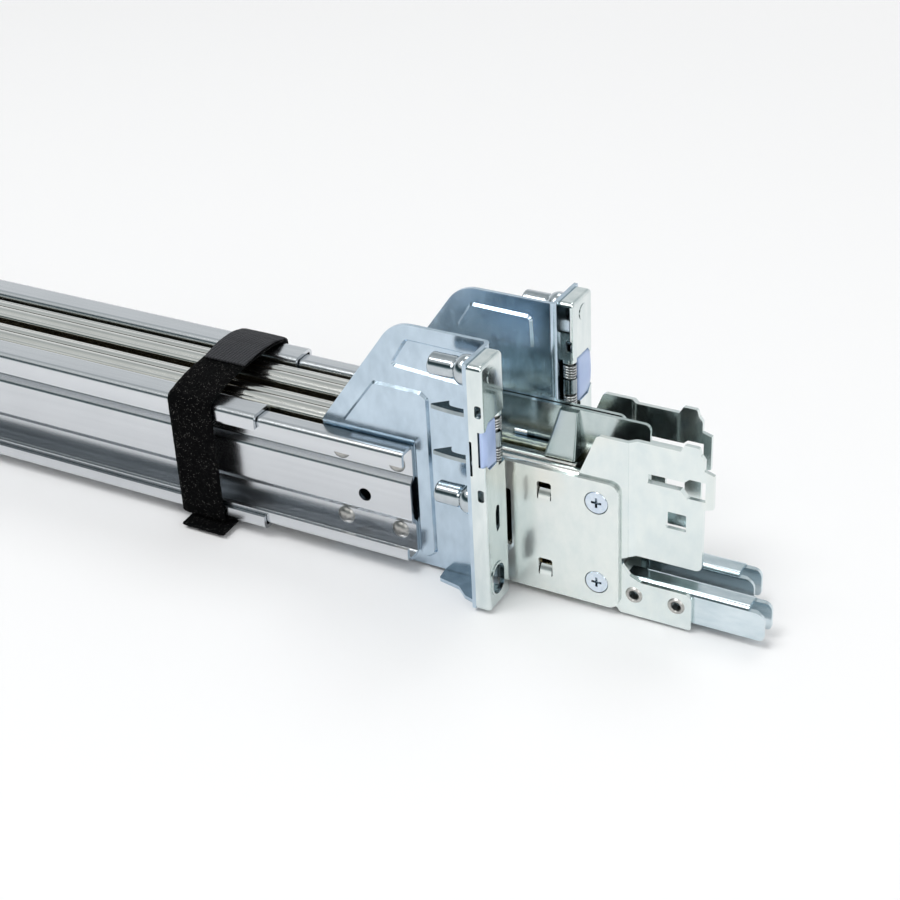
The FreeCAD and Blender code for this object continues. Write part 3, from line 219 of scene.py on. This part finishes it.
def moulded_plastic(name, dark, light, roughness):
    material, tree, shader = principled(name)
    place = object_place(tree)
    tone = noise(tree, place, scale=90, detail=2)
    feed(tree, ramp(tree, tone, [(0.3, dark), (0.7, light)]), shader.inputs["Base Color"])
    shader.inputs["Roughness"].default_value = roughness
    speckle = noise(tree, place, scale=2600, detail=2)
    relief(tree, shader, speckle, strength=0.06, distance=0.1 * MM)
    return material


# Cloth of the strap: a weave under a fuzz of fibres, with painted glints, light specks in the colour that
# stand in for highlights


def cloth(name, dark, light, glint, weave_scale, weave_share, roughness, sheen, specular):
    material, tree, shader = principled(name)
    place = object_place(tree)
    bands = []
    for direction in ("X", "Y", "Z"):
        wave = node(tree, "ShaderNodeTexWave", wave_type="BANDS", bands_direction=direction)
        wave.inputs["Scale"].default_value = weave_scale
        wave.inputs["Distortion"].default_value = 1.5
        feed(tree, place, wave.inputs["Vector"])
        bands.append(wave.outputs["Fac"])
    weave = calculate(tree, "MULTIPLY", bands[0], calculate(tree, "ADD", bands[1], bands[2]))
    fuzz = noise(tree, place, scale=2600, detail=5, roughness=0.75)
    height = calculate(tree, "MULTIPLY_ADD", weave, weave_share, fuzz)
    colour = ramp(tree, height, [(0.35, dark), (0.8, light)])
    # Painted highlights: specks of the glint colour are put into the base colour at scattered cells,
    # standing in for fibres catching the light
    glint_cells = node(tree, "ShaderNodeTexVoronoi")
    glint_cells.inputs["Scale"].default_value = 2100
    feed(tree, place, glint_cells.inputs["Vector"])
    painted_glint_spots = ramp(tree, glint_cells.outputs["Distance"], [(0.0, WHITE), (0.30 * (1 - weave_share), BLACK)])
    chosen = ramp(tree, noise(tree, place, scale=700, detail=2), [(0.48, BLACK), (0.58, WHITE)])
    shown = mix(tree, 1.0, painted_glint_spots, chosen, "MULTIPLY")
    feed(tree, mix(tree, shown, colour, glint), shader.inputs["Base Color"])
    shader.inputs["Roughness"].default_value = roughness
    shader.inputs["Sheen Weight"].default_value = sheen
    shader.inputs["Specular IOR Level"].default_value = specular
    relief(tree, shader, height, strength=0.9, distance=0.3 * MM)
    return material


# Finishes by material slot, and those of single nodes by the end of their names

# The crevice colours given to the galvanised and slide steel tint their painted shade blue-teal and gold
by_slot = {
    "galvanised_steel": metal("galvanised", dark=(0.62, 0.64, 0.665), light=(0.68, 0.70, 0.725),
                              rough=(0.19, 0.25), grain=420, bump=0.003, stretch=ROLLED,
                              crevice_shade=(0.36, 0.47, 0.53), shade_reach=4 * MM),
    "slide_steel": metal("slide_steel", dark=(0.69, 0.69, 0.66), light=(0.80, 0.80, 0.77),
                         rough=(0.13, 0.2), grain=600, bump=0.003, stretch=ROLLED,
                         crevice_shade=(0.74, 0.62, 0.36), shade_reach=6 * MM),
    "cage_steel": metal("cage_steel", dark=(0.42, 0.38, 0.22), light=(0.62, 0.57, 0.38),
                        rough=(0.2, 0.34), grain=1200, bump=0.01, stretch=(0.05, 1, 1)),
    "bracket_zinc": metal("bracket_zinc", dark=(0.46, 0.56, 0.65), light=(0.58, 0.69, 0.79),
                          rough=(0.15, 0.23), grain=260, bump=0.004, stretch=(1, 1, 0.5)),
    "bright_zinc": metal("bright_zinc", dark=(0.72, 0.79, 0.79), light=(0.82, 0.87, 0.85),
                         rough=(0.12, 0.2), grain=260, bump=0.003, stretch=(1, 1, 0.6),
                         tint=(0.80, 0.76, 0.66)),
    "polished_steel": metal("polished", dark=(0.46, 0.51, 0.54), light=(0.60, 0.64, 0.67),
                            rough=(0.08, 0.15), grain=260, bump=0.004),
    "cover_steel": metal("cover_steel", dark=(0.66, 0.73, 0.73), light=(0.80, 0.85, 0.84),
                         rough=(0.09, 0.17), grain=260, bump=0.004, stretch=(1, 1, 0.3)),
    "fastener_steel": metal("fastener", dark=(0.40, 0.39, 0.37), light=(0.52, 0.51, 0.49),
                            rough=(0.3, 0.4), grain=700, bump=0.01),
    "spring_steel": metal("spring_steel", dark=(0.34, 0.35, 0.35), light=(0.62, 0.63, 0.63),
                          rough=(0.1, 0.18), grain=900, bump=0.01),
    "blue_plastic": moulded_plastic("blue_plastic", dark=(0.42, 0.54, 0.84), light=(0.52, 0.65, 0.93),
                                    roughness=0.24),
    "strap_fabric": cloth("loop_cloth", dark=(0.0006, 0.0007, 0.0008), light=(0.004, 0.0045, 0.005),
                          glint=(0.30, 0.29, 0.27), weave_scale=900, weave_share=0.05,
                          roughness=0.75, sheen=0, specular=0.04),
}
by_ending = {
    "_cma_screws": metal("screw_zinc", dark=(0.62, 0.71, 0.82), light=(0.78, 0.85, 0.92),
                         rough=(0.12, 0.22), grain=500, bump=0.01),
    # The latch hooks get a darker copy of the polished steel: painted shade standing in for the dark sky
    # their faces reflect
    "_latch": metal("shaded_hook_steel", dark=(0.26, 0.31, 0.33), light=(0.38, 0.43, 0.45),
                    rough=(0.1, 0.18), grain=260, bump=0.004),
    "_cma_base_plate": metal("base_zinc", dark=(0.74, 0.80, 0.79), light=(0.84, 0.88, 0.85),
                             rough=(0.12, 0.2), grain=260, bump=0.003, stretch=(1, 1, 0.6),
                             tint=(0.82, 0.76, 0.64), metallic=0.7),
    # The inner plates get a darker copy of the zinc: painted shade standing in for the dark reflections
    # they show between the rails
    "_cma_inner_plate": metal("shaded_inner_zinc", dark=(0.46, 0.54, 0.54), light=(0.60, 0.67, 0.66),
                              rough=(0.12, 0.22), grain=260, bump=0.003, stretch=(1, 1, 0.6)),
    "_cma_guide_channel": metal("guide_zinc", dark=(0.58, 0.68, 0.73), light=(0.72, 0.80, 0.84),
                                rough=(0.12, 0.2), grain=400, bump=0.004, stretch=(0.3, 1, 1)),
}
woven_cloth = cloth("woven_cloth", dark=(0.004, 0.004, 0.006), light=(0.052, 0.054, 0.06),
                    glint=(0.20, 0.19, 0.18), weave_scale=260, weave_share=0.9,
                    roughness=0.8, sheen=0.04, specular=0.12)

for part in frame["record"]["subparts"]:
    finish = by_slot[part["material_slot"]]
    for ending, own_finish in by_ending.items():
        if part["node"].endswith(ending):
            finish = own_finish
    for material_slot in bpy.data.objects[part["node"]].material_slots:
        material_slot.material = finish

# Meshes of the scene's own pieces


def shell(bm, front, rear):
    """Closes a front and a rear grid of vertices into one thin solid."""
    rows, lanes = len(front) - 1, len(front[0]) - 1
    for i in range(rows):
        for j in range(lanes):
            bm.faces.new((front[i][j], front[i + 1][j], front[i + 1][j + 1], front[i][j + 1]))
            bm.faces.new((rear[i][j], rear[i][j + 1], rear[i + 1][j + 1], rear[i + 1][j]))
    for i in range(rows):
        for j in (0, lanes):
            bm.faces.new((front[i][j], rear[i][j], rear[i + 1][j], front[i + 1][j]))
    for j in range(lanes):
        for i in (0, rows):
            bm.faces.new((front[i][j], front[i][j + 1], rear[i][j + 1], rear[i][j]))


def new_piece(name, bm, body, finish):
    bmesh.ops.recalc_face_normals(bm, faces=bm.faces)
    mesh = bpy.data.meshes.new(name)
    bm.to_mesh(mesh)
    bm.free()
    for face in mesh.polygons:
        face.use_smooth = True
    mesh.materials.append(finish)
    made = bpy.data.objects.new(name, mesh)
    scene.collection.objects.link(made)
    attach(made, body)
    return made


# Release pads and torsion springs of the four latches

BUTTON_BACK = 2.8
body_of = {}
for body, nodes in frame["record"]["behaviour"]["bodies"].items():
    for node_name in nodes:
        body_of[node_name] = body


def latch_place(button):
    """Gives the function that turns a latch's (x, w, z) in millimetres into a point of the row frame.

    x runs out from the rear face of the bracket's flange, w out from the mid-plane between the rails
    and z up from the floor.
    """
    low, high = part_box(button)
    outward = -1 if "front" in button else 1
    hand = -1 if button.startswith("right") else 1
    flange = low[0] - BUTTON_BACK * MM if outward > 0 else high[0] + BUTTON_BACK * MM
    return lambda x, w, z: Vector((flange + outward * x * MM, hand * w * MM, z * MM))


def beyond(share, start):
    """How far a share has come on its way from start to 1: 0 before it, 1 at the end."""
    return max(0, share - start) / (1 - start)


def crowned_pad(button):
    """The pad bulges most at mid height, towards its outer edge, and has a rounded rim."""
    place = latch_place(button)
    bottom, height, outer_rise = 51.0, 15.0, 0.5
    inner_w, outer_w = 21.8, 30.6
    back_x, face_x, face_slope = 4.72, 5.55, 0.25
    crown_height, middle_bulge = 1.25, 0.2
    rounding_start, rounding_depth = 0.72, 0.75
    rim_drop, rim_start_up, rim_start_across = 0.28, 0.96, 0.95
    rows, lanes = 40, 24
    bm = bmesh.new()
    front, rear = [], []
    for i in range(rows + 1):
        up = i / rows
        front.append([])
        rear.append([])
        for j in range(lanes + 1):
            across = j / lanes
            w = inner_w + (outer_w - inner_w) * across
            z = bottom + height * up + outer_rise * across
            crown = crown_height * across ** 1.3 * (1 - (2 * up - 1) ** 2)
            crown += middle_bulge * math.sin(math.pi * across)
            crown *= 1 - rounding_depth * beyond(across, rounding_start) ** 2
            rim = beyond(abs(2 * up - 1), rim_start_up) + beyond(abs(2 * across - 1), rim_start_across)
            x = face_x - face_slope * across + crown - rim_drop * min(1, rim) ** 2
            front[-1].append(bm.verts.new(place(x, w, z)))
            rear[-1].append(bm.verts.new(place(back_x, w, z)))
    shell(bm, front, rear)
    pad = new_piece(button + "_pad", bm, body_of[button], by_slot["blue_plastic"])
    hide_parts(button)


def wound_springs(springs, button):
    place = latch_place(button)
    hinge_x, hinge_w = 3.7, 19.3
    coil_radius, wire_radius, pitch = 1.92, 0.36, 0.92
    steps_per_turn, wire_sides = 28, 10
    bm = bmesh.new()
    for bottom, top, hand in ((50.5, 54.8, 1), (60.8, 65.2, -1)):
        turns = (top - bottom) / pitch
        steps = int(turns * steps_per_turn)
        rings = []
        for i in range(steps + 1):
            angle = hand * 2 * math.pi * turns * i / steps
            outward = Vector((math.cos(angle), math.sin(angle), 0))
            centre = Vector((hinge_x, hinge_w, bottom + (top - bottom) * i / steps)) + outward * coil_radius
            ring = []
            for k in range(wire_sides):
                turn = 2 * math.pi * k / wire_sides
                offset = outward * math.cos(turn) + Vector((0, 0, math.sin(turn)))
                ring.append(bm.verts.new(place(*(centre + offset * wire_radius))))
            rings.append(ring)
        for here, there in zip(rings, rings[1:]):
            for k in range(wire_sides):
                after = (k + 1) % wire_sides
                bm.faces.new((here[k], here[after], there[after], there[k]))
        bm.faces.new(rings[0])
        bm.faces.new(list(reversed(rings[-1])))
    coils = new_piece(springs + "_coils", bm, body_of[springs], by_slot["spring_steel"])
    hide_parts(springs)


for side in ("right", "left"):
    for end in ("rear", "front"):
        latch = "%s_%s_" % (side, end)
        crowned_pad(latch + "latch_button")
        wound_springs(latch + "springs", latch + "latch_button")

# Hook-and-loop strap round both rails, its corners in millimetres

WIDTH = 17
STRAP_WIDTH = WIDTH * MM
STRAP_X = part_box("strap")[0][0] + STRAP_WIDTH / 2
PATH_STEP = 0.5 * MM
ROUNDED_STEPS = 10
MOST_REACH = 0.45
off_sleeve, off_band = 1.1, 1.1
sleeve_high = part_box("left_sleeve_channel")[1]
side_y, top_z = sleeve_high[1] / MM + off_sleeve, sleeve_high[2] / MM + off_sleeve
flap_y = side_y + off_band


def rounded_path(corners):
    """Points in metres along a line of corners, each rounded as far as its own reach."""
    places = [Vector([value * MM for value in corner[:4]]) for corner in corners]
    reaches = [corner[4] * MM for corner in corners]
    runs = []
    for before, here, after, wanted in zip(places, places[1:], places[2:], reaches[1:]):
        come, leave = before - here, after - here
        come_length, leave_length = come.to_2d().length, leave.to_2d().length
        reach = min(wanted, MOST_REACH * come_length, MOST_REACH * leave_length)
        first, last = here + come * (reach / come_length), here + leave * (reach / leave_length)
        bend = []
        for j in range(ROUNDED_STEPS + 1):
            k = j / ROUNDED_STEPS
            bend.append(first * (1 - k) ** 2 + here * 2 * k * (1 - k) + last * k ** 2)
        runs.append(bend)
    points = [places[0]]
    for run in runs + [[places[-1]]]:
        start = points[-1]
        steps = max(1, int((run[0] - start).to_2d().length / PATH_STEP))
        points += [start.lerp(run[0], k / steps) for k in range(1, steps)]
        points += run
    return points


def strip(name, corners, thickness, fuzz, ripple, seed, finish):
    """A strap with thinner edges and a rough outer face. Returns the piece and its path's length."""
    rng = random.Random(seed)
    path = rounded_path(corners)
    lanes = 36
    edge_width, edge_thickness = 1 / 16, 0.55
    ripple_along, ripple_across = 0.11, 5
    bm = bmesh.new()
    outer, inner = [], []
    for i, (y, z, shift, width) in enumerate(path):
        before, after = path[max(0, i - 1)], path[min(len(path) - 1, i + 1)]
        along = (after - before).to_2d().normalized()
        for side, grid in ((1, outer), (-1, inner)):
            grid.append([])
            for j in range(lanes + 1):
                share = j / lanes - 0.5
                edge = min(1, (0.5 - abs(share)) / edge_width)
                swell = thickness / 2 * (edge_thickness + (1 - edge_thickness) * edge) * side
                if side > 0:
                    swell += fuzz * rng.random() * edge
                swell += ripple * math.sin(i * ripple_along) * math.cos(share * ripple_across)
                wobble = 0.5 * fuzz * (rng.random() - 0.5) if j in (0, lanes) else 0
                grid[-1].append(bm.verts.new((STRAP_X + shift + share * width + wobble,
                                              y + along.y * swell, z - along.x * swell)))
    shell(bm, outer, inner)
    length = sum((b - a).to_2d().length for a, b in zip(path, path[1:]))
    return new_piece(name, bm, "rail_pair", finish), length


# Each corner: y, z, shift along the rails, width, and how far the rounding reaches
band_corners = [
    (-30.4, 2.0, 3.0, WIDTH, 0), (-22, 2.1, 2.6, WIDTH, 4), (side_y, 2.1, -2.4, WIDTH, 2.2),
    (side_y, top_z - 1.4, -3.6, WIDTH, 2), (17, 49.6, -3.0, WIDTH, 6), (0, 51.2, -1.4, WIDTH, 6),
    (-14, 50.9, -0.6, WIDTH, 6), (-side_y, top_z, 0, WIDTH, 2.4), (-side_y, 3.3, 0.3, WIDTH, 2),
    (-8, 3.3, 0.3, WIDTH, 0),
]
flap_corners = [
    (flap_y, 16, -4.6, 18, 0), (flap_y, 47.4, -4.8, 18, 2), (18, 50.5, -3.6, 17.8, 8),
    (6, 52.4, -1.6, 17.2, 8), (-4.4, 52.4, 0, 0.95 * WIDTH, 0),
]
band, band_length = strip("strap_band", band_corners, thickness=1.0 * MM, fuzz=0.32 * MM, ripple=0.05 * MM,
                          seed=4, finish=by_slot["strap_fabric"])
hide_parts("strap")
flap, flap_length = strip("strap_flap", flap_corners, thickness=0.7 * MM, fuzz=0.05 * MM, ripple=0.06 * MM,
                          seed=9, finish=woven_cloth)

# Floor, which the camera sees as plain white away from the object

FLOOR_HALF = 6
WHITENS_FROM, WHITE_FROM = 0.45, 1.3
floor_mesh = bpy.data.meshes.new("floor")
corners = [(FLOOR_HALF * x, FLOOR_HALF * y, 0) for x, y in ((-1, -1), (1, -1), (1, 1), (-1, 1))]
floor_mesh.from_pydata(corners, [], [(0, 1, 2, 3)])
floor = bpy.data.objects.new("floor", floor_mesh)
scene.collection.objects.link(floor)
floor_material, tree, shader = principled("floor")
shader.inputs["Base Color"].default_value = (0.965, 0.97, 0.975, 1)
shader.inputs["Roughness"].default_value = 0.8
place = node(tree, "ShaderNodeTexCoord")
away = node(tree, "ShaderNodeVectorMath", operation="LENGTH")
feed(tree, place.outputs["Object"], away.inputs[0])
far = fitted(tree, away.outputs["Value"], WHITENS_FROM, WHITE_FROM, interpolation_type="SMOOTHSTEP")
rays = node(tree, "ShaderNodeLightPath")
white = node(tree, "ShaderNodeEmission")
feed(tree, WHITE, white.inputs["Color"])
both = node(tree, "ShaderNodeMixShader")
feed(tree, calculate(tree, "MULTIPLY", far, rays.outputs["Is Camera Ray"]), both.inputs[0])
feed(tree, shader.outputs["BSDF"], both.inputs[1])
feed(tree, white.outputs["Emission"], both.inputs[2])
feed(tree, both.outputs["Shader"], tree.nodes["Material Output"].inputs["Surface"])
floor.data.materials.append(floor_material)

# World: white to the camera, even grey as light, and for metal a studio with a dark band in front

EVEN_GREY = (0.47, 0.47, 0.47)
world = bpy.data.worlds.new("studio")
scene.world = world
world.use_nodes = True
tree = world.node_tree
sky = tree.nodes["Background"]
direction = node(tree, "ShaderNodeTexCoord")
axes = node(tree, "ShaderNodeSeparateXYZ")
feed(tree, direction.outputs["Generated"], axes.inputs[0])
behind = ramp(tree, axes.outputs["Z"], [(0.0, (0.95, 0.96, 0.97)), (0.35, (0.84, 0.86, 0.87)),
                                        (0.7, (0.42, 0.46, 0.47)), (1.0, (0.55, 0.57, 0.57))])
before = ramp(tree, axes.outputs["Z"], [(0.0, (0.80, 0.84, 0.85)), (0.10, (0.30, 0.37, 0.38)),
                                        (0.22, (0.04, 0.07, 0.075)), (0.50, (0.04, 0.065, 0.07)),
                                        (0.62, (0.66, 0.69, 0.69)), (1.0, (0.60, 0.62, 0.62))])
turned_back = fitted(tree, axes.outputs["Y"], from_low=-0.15, from_high=0.3)
seen_in_metal = mix(tree, turned_back, before, behind)
rays = node(tree, "ShaderNodeLightPath")
lit = mix(tree, rays.outputs["Is Glossy Ray"], EVEN_GREY, seen_in_metal)
feed(tree, mix(tree, rays.outputs["Is Camera Ray"], lit, WHITE), sky.inputs["Color"])
sky.inputs["Strength"].default_value = 1

# Lamps, a metre square each, aimed near the rear ends

LAMP_WIDTH = 1.0
LAMP_TARGET = Vector((0.2, 0, 0))
for name, place, power in (("key", (-0.2, -0.75, 2.0), 18.8), ("fill", (1.6, -0.8, 1.0), 7.9),
                           ("rim", (0.2, 1.2, 1.9), 6.8)):
    lamp_data = bpy.data.lights.new(name, "AREA")
    lamp_data.shape = "SQUARE"
    lamp_data.size = LAMP_WIDTH
    lamp_data.energy = power
    lamp = bpy.data.objects.new(name, lamp_data)
    scene.collection.objects.link(lamp)
    lamp.location = place
    lamp.rotation_euler = (LAMP_TARGET - Vector(place)).to_track_quat("-Z", "Y").to_euler()
